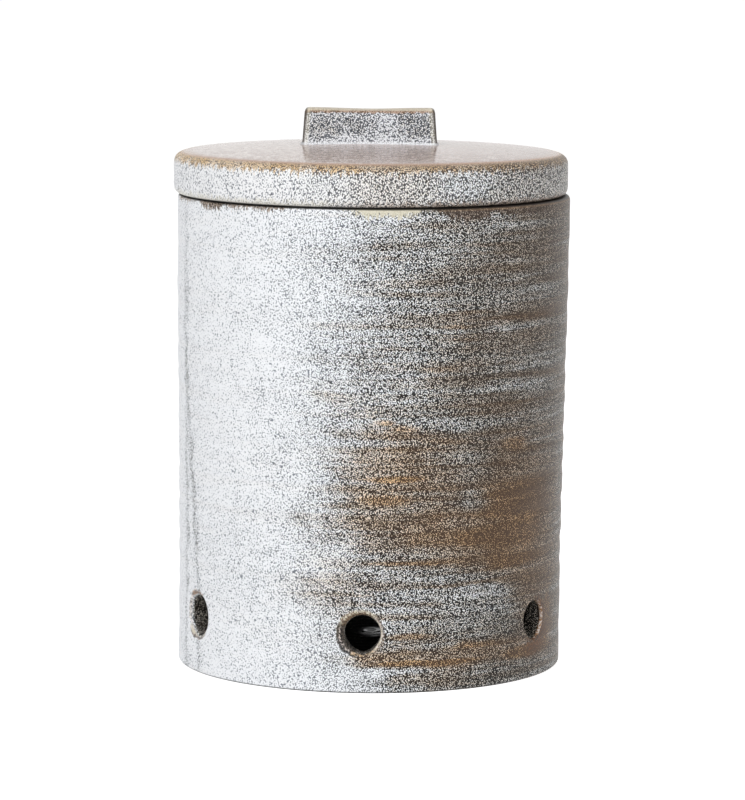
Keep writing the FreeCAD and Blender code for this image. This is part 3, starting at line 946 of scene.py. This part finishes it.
class KEEPER_OT_grip(bpy.types.Operator):
    """Cuts the upright grip, softens it and lutes it to the dome"""

    bl_idname = "keeper.grip"
    bl_label = "Cut Grip"

    def execute(self, context):
        sizes = context.scene.keeper_sizes
        middle = (GRIP_HIGH + GRIP_LOW) / 2 - Vector((sizes.grip_offset, 0, 0))
        size = GRIP_HIGH - GRIP_LOW
        bpy.ops.object.select_all(action="DESELECT")
        bpy.ops.mesh.primitive_cube_add(size=1, location=middle, scale=size)
        grip = context.object
        grip.name = grip.data.name = "grip_slab"
        bpy.ops.object.transform_apply()

        # The ends lean in towards the top, and every edge but the foot's is softened
        pick(grip, lambda place: place.z > middle.z)
        ratio = 1 - 2 * sizes.grip_narrowing / size.x
        bpy.ops.transform.resize(value=(ratio, 1, 1), center_override=middle)
        pick(grip, lambda place: place.z > GRIP_LOW.z + 1 * MM, "EDGE")
        bpy.ops.mesh.bevel(offset=sizes.grip_softness, segments=4, affect="EDGES")

        # Glaze pooled round the foot: the wall flares out in rings
        for share, _ in GRIP_FLARE:
            bpy.ops.mesh.select_all(action="SELECT")
            level = GRIP_LOW.z + share * sizes.grip_fillet
            bpy.ops.mesh.bisect(plane_co=(0, 0, level), plane_no=(0, 0, 1))
        for share, flare in GRIP_FLARE:
            level = GRIP_LOW.z + share * sizes.grip_fillet
            pick(grip, lambda place: abs(place.z - level) < 0.01 * MM)
            out = flare * sizes.grip_fillet
            bpy.ops.transform.resize(
                value=(1 + 2 * out / size.x, 1 + 2 * out / size.y, 1), center_override=middle,
            )

        # The top edge dips a little in its middle
        for k in range(-9, 10):
            bpy.ops.mesh.select_all(action="SELECT")
            bpy.ops.mesh.bisect(plane_co=(middle.x + k * size.x / 21, 0, 0), plane_no=(1, 0, 0))
        pick(grip, lambda place: place.z > GRIP_HIGH.z - 0.1 * MM and abs(place.x - middle.x) < 1.1 * MM)
        bpy.ops.transform.translate(
            value=(0, 0, -sizes.grip_sag), use_proportional_edit=True,
            proportional_edit_falloff="SMOOTH", proportional_size=size.x * 0.42,
        )
        turn_outwards()
        grip.data.materials.append(grip_glaze())
        finish_piece(grip, "lid", "lid_grip", 40)
        return {"FINISHED"}


# Studio

CAMERA_PLACE = (-0.03, -1279.3, 243.9)
CAMERA_PITCH = 7.291          # degrees down
CAMERA_ROLL = 0.400
FOCAL_PIXELS = 4192.9         # focal length in pixels of the picture
PICTURE_HEIGHT = 800
SENSOR = 36.0
WHITE = colour("#FFFFFF")


class KEEPER_OT_stage(bpy.types.Operator):
    """Sets the floor, the soft lamps, the white surroundings and the camera"""

    bl_idname = "keeper.stage"
    bl_label = "Set Studio"

    def execute(self, context):
        bpy.ops.object.select_all(action="DESELECT")
        bpy.ops.mesh.primitive_plane_add(size=60)
        floor = context.object
        floor.name = floor.data.name = "studio_floor"
        material = bpy.data.materials.new("white_sweep")
        # A pale cloth that keeps the shadow, and glows for the eye alone
        node = emptied(material)
        glow = node("Math MULTIPLY", [self.seen(node), 0.86])
        shine = node("Emission", {"Color": WHITE, "Strength": glow})
        cloth = node("BsdfDiffuse", {"Color": colour("#E6E6E6")})
        node("OutputMaterial", [node("AddShader", [cloth, shine])], None)
        floor.data.materials.append(material)

        self.lamp("key_softbox", (-1100, -1500, 1150), (1500, 1500), 27.3)
        self.lamp("fill_softbox", (1300, -1200, 700), (1400, 1400), 12.0)
        self.lamp("top_softbox", (0, 100, 1500), (1400, 1400), 6.0)

        world = bpy.data.worlds.new("white_surroundings")
        context.scene.world = world
        node = emptied(world)
        seen = self.seen(node)
        dim = node("Background", {"Color": WHITE, "Strength": 0.19})
        plain = node("Background", {"Color": WHITE, "Strength": 1.0})
        node("OutputWorld", [node("MixShader", [seen, dim, plain])], None)

        bpy.ops.object.camera_add(location=Vector(CAMERA_PLACE) * MM)
        camera = context.object
        pitch = Matrix.Rotation(math.radians(90 - CAMERA_PITCH), 3, "X")
        roll = Matrix.Rotation(math.radians(CAMERA_ROLL), 3, "Z")
        camera.rotation_euler = (pitch @ roll).to_euler()
        camera.data.sensor_width = SENSOR
        camera.data.lens = FOCAL_PIXELS * SENSOR / PICTURE_HEIGHT
        context.scene.camera = camera
        context.scene.view_settings.view_transform = "Standard"
        return {"FINISHED"}

    def seen(self, node):
        """1 where the surroundings are looked at, straight or in a gloss or glass, and 0 where they light."""
        rays = node("LightPath", output=None)
        seen = node("Math MAXIMUM", [rays["Is Camera Ray"], rays["Is Glossy Ray"]])
        return node("Math MAXIMUM", [seen, rays["Is Transmission Ray"]])

    def lamp(self, name, place, size, power):
        """A rectangular softbox that faces the keeper."""
        bpy.ops.object.light_add(type="AREA", location=Vector(place) * MM)
        lamp = bpy.context.object
        lamp.name = lamp.data.name = name
        lamp.data.shape = "RECTANGLE"
        lamp.data.size, lamp.data.size_y = size[0] * MM, size[1] * MM
        lamp.data.energy = power
        target = Vector((0, 0, JAR_HIGH.z * 0.55))
        lamp.rotation_euler = (lamp.location - target).to_track_quat("Z", "Y").to_euler()


class KEEPER_PT_panel(bpy.types.Panel):
    """Lists the keeper's pieces, sizes and glazes"""

    bl_label = "Garlic Keeper"
    bl_space_type = "VIEW_3D"
    bl_region_type = "UI"
    bl_category = "Keeper"

    def draw(self, context):
        for operator in PIECES:
            self.layout.operator(operator.bl_idname)
        for group in (context.scene.keeper_sizes, context.scene.keeper_glazes):
            box = self.layout.box()
            for name in group.bl_rna.properties.keys():
                if name not in ("rna_type", "name"):
                    box.prop(group, name)


PIECES = (KEEPER_OT_jar, KEEPER_OT_lid_disc, KEEPER_OT_locating_ring, KEEPER_OT_grip, KEEPER_OT_stage)
CLASSES = (KeeperSizes, KeeperGlazes, *PIECES, KEEPER_PT_panel)


def register():
    for item in CLASSES:
        bpy.utils.register_class(item)
    bpy.types.Scene.keeper_sizes = bpy.props.PointerProperty(type=KeeperSizes)
    bpy.types.Scene.keeper_glazes = bpy.props.PointerProperty(type=KeeperGlazes)


def unregister():
    del bpy.types.Scene.keeper_glazes
    del bpy.types.Scene.keeper_sizes
    for item in reversed(CLASSES):
        bpy.utils.unregister_class(item)


def main():
    register()
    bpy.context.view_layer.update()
    bpy.ops.keeper.jar()
    bpy.ops.keeper.lid_disc()
    bpy.ops.keeper.locating_ring()
    bpy.ops.keeper.grip()
    bpy.ops.keeper.stage()


if __name__ == "__main__":
    main()
